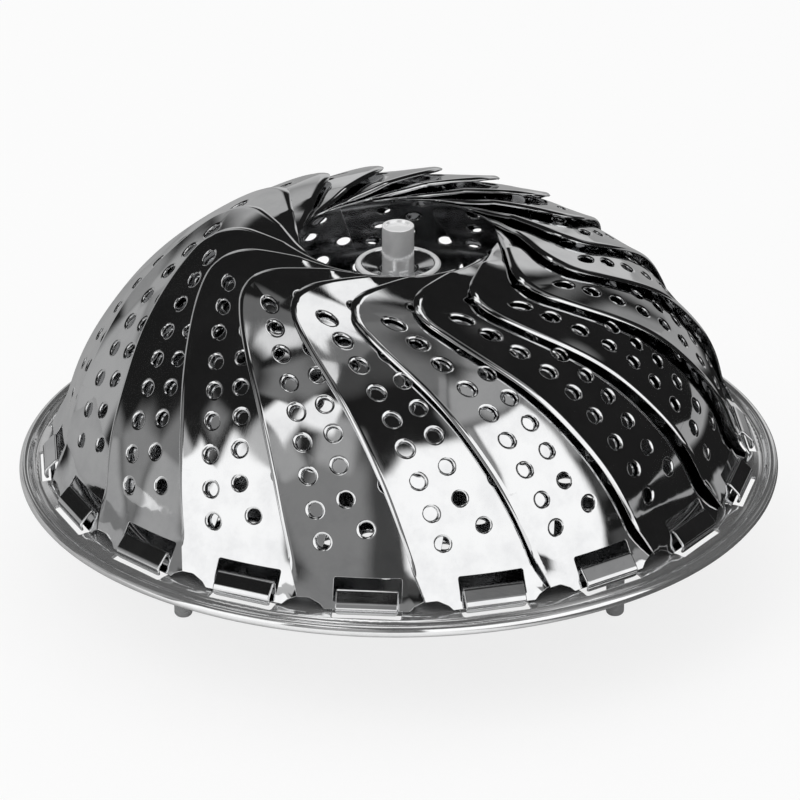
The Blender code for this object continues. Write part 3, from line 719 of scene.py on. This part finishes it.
petalRound = petal["cutRound"]
rawOutline = petalOutline()
outline = shrink(rawOutline, petalRound)
exposed = rawOutline[(rawOutline[:, 1] < 8) & (rawOutline[:, 0] > 2.5)]
openSide = exposed[exposed[:, 1] < -rootLeft * 0.9]
holeCentres = np.array([spot for column in holeColumns for spot in column])
holeCut = petal["holeRadius"] + petalRound
holes = [circle(centre, holeCut, 20) for centre in holeCentres]
windowLow, windowTop = hinge["barHeight"] / 2 - petalRound, petal["windowTop"] + petalRound
windowHalf = petal["windowHalf"] + petalRound
windowLoop = roundedLoop([(windowLow, -windowHalf), (windowTop, -windowHalf), (windowTop, windowHalf),
                          (windowLow, windowHalf)], petal["windowRounds"], 0.9)
lips = np.vstack([circle(centre, holeCut + reach, 20) for centre in holeCentres for reach in (0.12, 0.27, 0.46)])
openLoops = holes + [windowLoop]
metal, edges = [outline] + openLoops, np.vstack([outline] + openLoops + [lips])
grid = hexGrid(outline.min(axis=0), outline.max(axis=0), petal["grid"])
innerEdge = np.vstack([shrink(outline, step) for step in (0.22, 0.46, 0.72, 1.05)])
innerEdge = innerEdge[innerEdge[:, 0] > 4]
grid = clearOf(grid, np.vstack([edges, innerEdge]), 0.8)
grid = grid[insideLoops(grid, metal)]
innerEdge = clearOf(innerEdge[insideLoops(innerEdge, metal)], edges, 0.17)
petalBlank = cutBlank(outline, openLoops, np.vstack([grid, innerEdge, lips]))
for index, azimuth in enumerate(azimuths):
    name, node = f"petal{index + 1:02d}", f"petal_{index + 1:02d}"
    mesh = formSheet(name, petalBlank, petalShape(petal["firstSeed"] + index), hinge["petalSheet"], petalSteel,
                     petalRound, inside=petalShadedInside)
    addPiece(name, mesh, node, node, seatAt(hingeRadius, azimuth, hingeHeight))


# centre post, finger disc, washer and nut

print("post and fixings")
fit = {"seat": 0.25, "turn": 0.3}  # gaps where pieces seat on one another, and where they turn
post = {
    "height": 51.9, "radius": 3.35, "cupDepth": 0.7, "cupWall": 0.5, "spigotRadius": 2.4, "spigotEnd": 0.9,
    "threadPitch": 0.5, "threadDepth": 0.22, "discRadius": 9.0, "discDrop": 9.0, "discRim": 0.85, "discWeb": 0.7,
    "discDish": 0.9, "hubRadius": 4.7, "hubHeight": 4.0, "washerRadius": 7.0, "washerSheet": 0.8,
    "nutAcross": 8.0, "nutHeight": 3.2, "nutChamfer": 0.62,
}
postTop = plate["standHeight"] + post["height"]
floorTop, floorUnder = floorMid + plate["sheet"] / 2, floorMid - plate["sheet"] / 2
washerTop = floorUnder - fit["seat"]
nutTop = washerTop - post["washerSheet"] - fit["seat"]
spigotBottom = nutTop - post["nutHeight"] - post["spigotEnd"]
cup = post["radius"] - post["cupWall"]
spigot, seat, cupFloor = post["spigotRadius"], floorTop + fit["seat"], postTop - post["cupDepth"]
postCorners = [(0, spigotBottom), (spigot - 0.3, spigotBottom)]
threadHeights = np.arange(spigotBottom + 0.35, washerTop - 0.2, post["threadPitch"])
for height in threadHeights:
    postCorners += [(spigot - post["threadDepth"], height - post["threadPitch"] / 2), (spigot, height)]
postCorners += [(spigot - 0.1, washerTop), (spigot - 0.1, seat), (post["radius"], seat), (post["radius"], postTop),
                (cup, postTop), (cup - 0.3, cupFloor), (0, cupFloor)]
postRadii = [0, 0.1] + [0.03, 0.03] * len(threadHeights) + [0.05, 0.05, 0.15, 0.22, 0.18, 0.3, 0]
postMesh = turnedMesh("centrePost", postCorners, postRadii, 72, postSteel)
# the cup's upward faces carry the painted highlight
refinish(postMesh, paintedHighlightSteel, lambda polygon: polygon.center.z > (cupFloor - 0.05) * mm and polygon.normal.z > 0.5)
addPiece("centrePost", postMesh, "base", "centre_post")

discLevel = postTop - post["discDrop"]
ring, rim, web = post["radius"] + fit["turn"], post["discRadius"] - post["discRim"], post["discWeb"] / 2
dish, hub = post["discDish"], post["hubRadius"]
discCorners = [(ring, discLevel - post["hubHeight"]), (hub, discLevel - post["hubHeight"]),
               (hub, discLevel - web - dish), (rim - 0.6, discLevel - web)]
discCorners += [(rim, discLevel) + post["discRim"] * spoke(math.radians(angle)) for angle in range(-120, 121, 30)]
discCorners += [(rim - 0.6, discLevel + web), (hub - 0.4, discLevel + web - dish), (ring, discLevel + web - dish)]
discRadii = [0.15, 0.25, 0.5, 0.3] + [0.6] * 9 + [0.3, 1.0, 0.2]
discMesh = turnedMesh("fingerDisc", discCorners, discRadii, 96, discSteel)
# the top of the disc's rim carries a painted highlight ring
refinish(discMesh, paintedHighlightSteel, lambda polygon: polygon.center.xy.length > (rim - 0.5) * mm
         and polygon.center.z > (discLevel + 0.3) * mm)
addPiece("fingerDisc", discMesh, "base", "finger_disc")

hole = post["spigotRadius"] + fit["turn"]
washerLow = washerTop - post["washerSheet"]
washerCorners = [(hole, washerLow), (post["washerRadius"], washerLow), (post["washerRadius"], washerTop),
                 (hole, washerTop)]
washerMesh = turnedMesh("postWasher", washerCorners, [0.18] * 4, 64, fixingSteel)
addPiece("postWasher", washerMesh, "base", "post_washer")


def nutMesh():
    # hexagon with turned chamfers: every ring is the hexagon cut down by the chamfer's cone
    height, half, chamfer = post["nutHeight"], post["nutAcross"] / 2, post["nutChamfer"]
    count = 96
    angles = np.arange(count) * 2 * math.pi / count
    hexagon = half / np.cos((angles + math.pi / 6) % (math.pi / 3) - math.pi / 6)
    side = [(np.minimum(hexagon, half - 0.1 + level * 1.35), level) for level in np.linspace(0.02, chamfer, 7)]
    end = [(np.full(count, radius), level) for radius, level in ((hole, 0.35), (hole + 0.35, 0.0), (half - 0.15, 0.0))]
    rows = end + side + [(radii, height - level) for radii, level in (end + side)[::-1]]
    points = [(radius * math.cos(angle), radius * math.sin(angle), nutTop - height + level)
              for radii, level in rows for radius, angle in zip(radii, angles)]
    rings = [list(range(first, first + count)) for first in range(0, len(points), count)]
    data = newMesh("postNut", points, ringFaces(rings, True), fixingSteel)
    data.set_sharp_from_angle(angle=math.radians(24))
    return data


addPiece("postNut", nutMesh(), "base", "post_nut")


# legs, brackets and pins

print("legs")
leg = {
    "azimuths": (-150.0, -30.0, 90.0), "inset": 5.6, "radius": 1.9, "eyeRadius": 2.1, "eyeWidth": 2.6,
    "bracketSheet": 0.8, "bracketRound": 0.2, "foldRadius": 0.55, "lugReach": 2.5, "eyeRound": 0.45,
    "tailHalf": 1.5, "tailEnd": -3.4, "neck": 1.55, "pinRadius": 0.8, "pinHead": 1.3, "pinHeadHeight": 0.5,
}
plateLow = floorUnder - fit["seat"] - leg["bracketSheet"]
pivot = plateLow - fit["turn"] - leg["eyeRadius"]
halfGap = leg["eyeWidth"] / 2 + fit["turn"]
pinHole = leg["pinRadius"] + fit["turn"]

foldHeight = plateLow + leg["bracketSheet"] / 2 - pivot
lugMiddle = halfGap + leg["bracketSheet"] / 2
foldRadius = leg["foldRadius"]
flatHalf = lugMiddle - foldRadius
arcLength = foldRadius * math.pi / 2
lugCentre = flatHalf + arcLength + foldHeight - foldRadius


def bracketForm(flat):
    run, side = np.abs(flat[:, 1]), np.sign(flat[:, 1])
    turn = np.clip((run - flatHalf) / foldRadius, 0, math.pi / 2)
    down = np.clip(run - flatHalf - arcLength, 0, None)
    across = np.minimum(run, flatHalf) + foldRadius * np.sin(turn)
    height = foldHeight - foldRadius * (1 - np.cos(turn)) - down
    return np.column_stack([flat[:, 0], side * across, height])


bracketRound = leg["bracketRound"]
reach = leg["lugReach"] - bracketRound
lugArc = [(0, lugCentre) + reach * spoke(a) for a in np.linspace(0, math.pi, 22)]
sideRun = np.linspace(lugCentre, -lugCentre, 40)[1:-1]
bracketOutline = np.array(lugArc + [(-reach, y) for y in sideRun] + [(-x, -y) for x, y in lugArc]
                          + [(reach, y) for y in sideRun[::-1]])
bracketHoles = [circle((0, side * lugCentre), pinHole + bracketRound, 24) for side in (-1, 1)]
bracketGrid = np.array([(x, y) for y in sideRun for x in (-1.6, 0.0, 1.6)])
bracketGrid = clearOf(bracketGrid, np.vstack(bracketHoles), 0.3)
bracketGrid = bracketGrid[~insideLoops(bracketGrid, bracketHoles)]
bracketBlank = cutBlank(bracketOutline, bracketHoles, bracketGrid)
bracketMesh = formSheet("legBracket", bracketBlank, bracketForm, leg["bracketSheet"], bracketSteel, bracketRound, 2)

eyeOuter, tailHalf = leg["eyeRadius"] - leg["eyeRound"], leg["tailHalf"] - leg["eyeRound"]
tailStart = math.asin(tailHalf / eyeOuter)
eyeArc = [eyeOuter * spoke(a) for a in np.linspace(-math.pi / 2 + tailStart, 1.5 * math.pi - tailStart, 34)]
eyeOutline = np.array(eyeArc + [(-tailHalf, leg["tailEnd"]), (tailHalf, leg["tailEnd"])])
eyeBlank = cutBlank(eyeOutline, [circle((0, 0), pinHole + 0.25, 24)], np.zeros((0, 2)))


def legMesh():
    # flattened eye and round peg joined in one mesh
    eye = formSheet("legEye", eyeBlank, lambda flat: np.insert(flat, 1, 0.0, axis=1), leg["eyeWidth"], legSteel,
                    0.25, 3)
    top = -leg["lugReach"] - fit["seat"]
    foot = -pivot
    corners = [(0, foot), (leg["radius"], foot), (leg["radius"], top - 0.4), (leg["neck"], top + 0.25), (0, top + 0.25)]
    peg = turnedMesh("legPeg", corners, (0, 1.85, 0.5, 0.35, 0), 48, legSteel)
    shape = bmesh.new()
    shape.from_mesh(eye)
    shape.from_mesh(peg)
    joined = bpy.data.meshes.new("leg")
    shape.to_mesh(joined)
    shape.free()
    joined.materials.append(legSteel)
    joined.shade_smooth()
    joined.set_sharp_from_angle(angle=math.radians(40))
    return joined


legData = legMesh()
pinReach = halfGap + leg["bracketSheet"] + fit["seat"]
pinEnd = pinReach + leg["pinHeadHeight"]
pinCorners = [(0, -pinEnd), (leg["pinHead"], -pinEnd), (leg["pinHead"], -pinReach), (leg["pinRadius"], -pinReach),
              (leg["pinRadius"], pinReach), (leg["pinHead"], pinReach), (leg["pinHead"], pinEnd), (0, pinEnd)]
pinData = turnedMesh("legPin", pinCorners, (0, 0.42, 0.06, 0.05, 0.05, 0.06, 0.42, 0), 40, pinSteel,
                     Matrix.Rotation(math.pi / 2, 4, "X"))
for number, degrees in enumerate(leg["azimuths"], 1):
    placed = seatAt(floorRadius - leg["inset"], math.radians(degrees), pivot)
    addPiece(f"legBracket{number}", bracketMesh, "base", f"leg_bracket_{number}", placed)
    addPiece(f"legPin{number}", pinData, "base", f"leg_pin_{number}", placed)
    addPiece(f"leg{number}", legData, f"leg_{number}", f"leg_{number}", placed)


# floor, light and camera

print("studio")
studio = {
    "floorWhite": 0.93, "floorGlow": 0.80, "floorSize": 2.4, "roomLight": 0.80, "dark": 0.012,
    "cards": ((0.40, (("Y", -0.10, -0.05),)), (0.015, (("X", 0.03, 0.07), ("Y", -0.26, -0.18), ("Y", 0.22, 0.14)))),
    # boxes of light that the steel mirrors: round from the left by the front, up, soft edge, strength
    "boxes": (
        (97, 166, -30, 47, 1.5, 1.08), (166, 180, 25, 48, 3, 0.28), (168, 180, 6, 25, 3, 0.07),
        (-180, -170, 48, 70, 3, 0.27), (126, 134, 46, 60, 4, 0.30), (148, 180, 48, 68, 4, 0.34),
        (24, 57, -30, 37, 1.5, 1.08), (30, 52, 30, 46, 2, 0.5), (45, 68, 50, 65, 2, 1.0), (60, 80, 40, 58, 4, 0.36),
        (60, 86, -30, 46, 5, 0.22), (84, 98, 0, 46, 4, 0.06), (0, 18, -30, 19, 3, 0.36), (-3, 20, 15, 39, 3, 0.20),
        (-15, 0, -30, 20, 4, 0.24), (0, 45, 60, 74, 5, 0.19), (-55, -28, -30, 14, 3, 0.40),
        (-72, -55, -30, 17, 3, 0.38), (-60, -44, 12, 25, 3, 0.28), (-81, -70, -30, 30, 3, 0.42),
        (-115, -98, -30, 22, 3, 0.56), (-100, -80, -30, 13, 3, 0.56), (-121, -110, -30, 18, 3, 0.26),
        (-132, -114, 23, 31, 3, 0.15), (-105, -93, 50, 63, 1.5, 1.0), (-99, -72, 62, 80, 1.5, 1.0),
        (-74, -50, 68, 86, 2, 1.0), (-60, -38, 69, 80, 3, 0.95), (-32, -10, 62, 72, 3, 0.75),
        (-60, -30, 60, 72, 3, 0.14), (-180, -110, 60, 74, 5, 0.17), (-118, -98, 58, 76, 4, 0.13),
        (-180, 60, 78, 100, 5, 0.17), (60, 180, 78, 100, 5, 0.06), (-180, -104, 79, 100, 3, 0.75),
    ),
}
lamp = {"place": (-0.5, -0.6, 1.1), "aim": (0, 0, 0.03), "size": 0.9, "power": 3.0}
camera = {"elevation": 26.09, "distance": 1.0864, "targetHeight": 0.02405, "roll": -0.181, "lens": 231.36,
          "shiftX": 0.001625, "shiftY": 0.07}


def studioWorld():
    # white to the camera; what the metal mirrors is a dark studio with a low white sweep in front
    world = bpy.data.worlds.new("studio")
    bpy.context.scene.world = world
    world.use_nodes = True
    tree = world.node_tree
    tree.nodes.clear()
    x, y, z = wire(tree, "SeparateXYZ", {0: wire(tree, "TexCoord")["Generated"]})
    x, y = product(tree, x, -1.0), product(tree, y, -1.0)
    turned = product(tree, combine(tree, "ARCTAN2", y, x), 180 / math.pi)
    raised = product(tree, combine(tree, "ARCSINE", z, 0.0), 180 / math.pi)
    mirrored = studio["dark"]
    for fromTurn, toTurn, bottom, top, soft, strength in studio["boxes"]:
        box = product(tree, spread(tree, turned, fromTurn - soft, fromTurn + soft),
                      spread(tree, turned, toTurn - soft, toTurn + soft, 1.0, 0.0),
                      spread(tree, raised, bottom - soft, bottom + soft),
                      spread(tree, raised, top - soft, top + soft, 1.0, 0.0), strength)
        mirrored = combine(tree, "MAXIMUM", box, mirrored)

    def light(strength):
        return wire(tree, "Background", {"Color": (1, 1, 1, 1), "Strength": strength})[0]

    ray = wire(tree, "LightPath")
    room = mixed(tree, ray["Is Glossy Ray"], light(studio["roomLight"]), light(mirrored))
    wire(tree, "OutputWorld", {"Surface": mixed(tree, ray["Is Camera Ray"], room, light(1.0))})


def studioFloor():
    # pale floor, mostly its own white so that the basket's shadow stays faint
    material = bpy.data.materials.new("paleFloor")
    material.use_nodes = True
    tree = material.node_tree
    tree.nodes.clear()
    ray = wire(tree, "LightPath")
    place = wire(tree, "SeparateXYZ", {0: wire(tree, "TexCoord")["Object"]})

    def matt(grey):
        return wire(tree, "BsdfDiffuse", {"Color": (grey, grey, grey, 1)})[0]

    # grey and black cards lie on the floor, seen only in the steel
    laid = matt(studio["floorWhite"])
    for grey, sides in studio["cards"]:
        edges = [spread(tree, place[axis], outside, within) for axis, outside, within in sides]
        laid = mixed(tree, product(tree, ray["Is Glossy Ray"], *edges), laid, matt(grey))
    glow = wire(tree, "Emission", {"Color": (1, 1, 1, 1), "Strength": 1.0})[0]
    own = product(tree, ray["Is Camera Ray"], studio["floorGlow"])
    wire(tree, "OutputMaterial", {"Surface": mixed(tree, own, laid, glow)})
    corners = np.insert(circle((0, 0), studio["floorSize"] / mm, 96), 2, 0.0, axis=1)
    addObject("paleFloor", newMesh("paleFloor", corners, [list(range(len(corners)))], material))


def softLamp():
    data = bpy.data.lights.new("softKey", "AREA")
    data.shape = "DISK"
    data.size, data.energy = lamp["size"], lamp["power"]
    made = addObject("softKey", data)
    made.location = lamp["place"]
    made.rotation_euler = (Vector(lamp["aim"]) - Vector(lamp["place"])).to_track_quat("-Z", "Y").to_euler()
    made.visible_glossy = False


def photoCamera():
    data = bpy.data.cameras.new("camera")
    data.lens, data.clip_end = camera["lens"], 10
    data.shift_x, data.shift_y = camera["shiftX"], camera["shiftY"]
    elevation, roll = math.radians(camera["elevation"]), math.radians(camera["roll"])
    target = Vector((0, 0, camera["targetHeight"]))
    eye = target + camera["distance"] * Vector((0, -math.cos(elevation), math.sin(elevation)))
    forward, right = (target - eye).normalized(), Vector((1, 0, 0))
    upward = right.cross(forward)
    tiltedRight = right * math.cos(roll) + upward * math.sin(roll)
    tiltedUp = upward * math.cos(roll) - right * math.sin(roll)
    made = addObject("camera", data)
    made.matrix_world = Matrix.Translation(eye) @ Matrix((tiltedRight, tiltedUp, -forward)).transposed().to_4x4()
    bpy.context.scene.camera = made


studioWorld()
studioFloor()
softLamp()
photoCamera()
bpy.context.scene.view_settings.view_transform = "Standard"
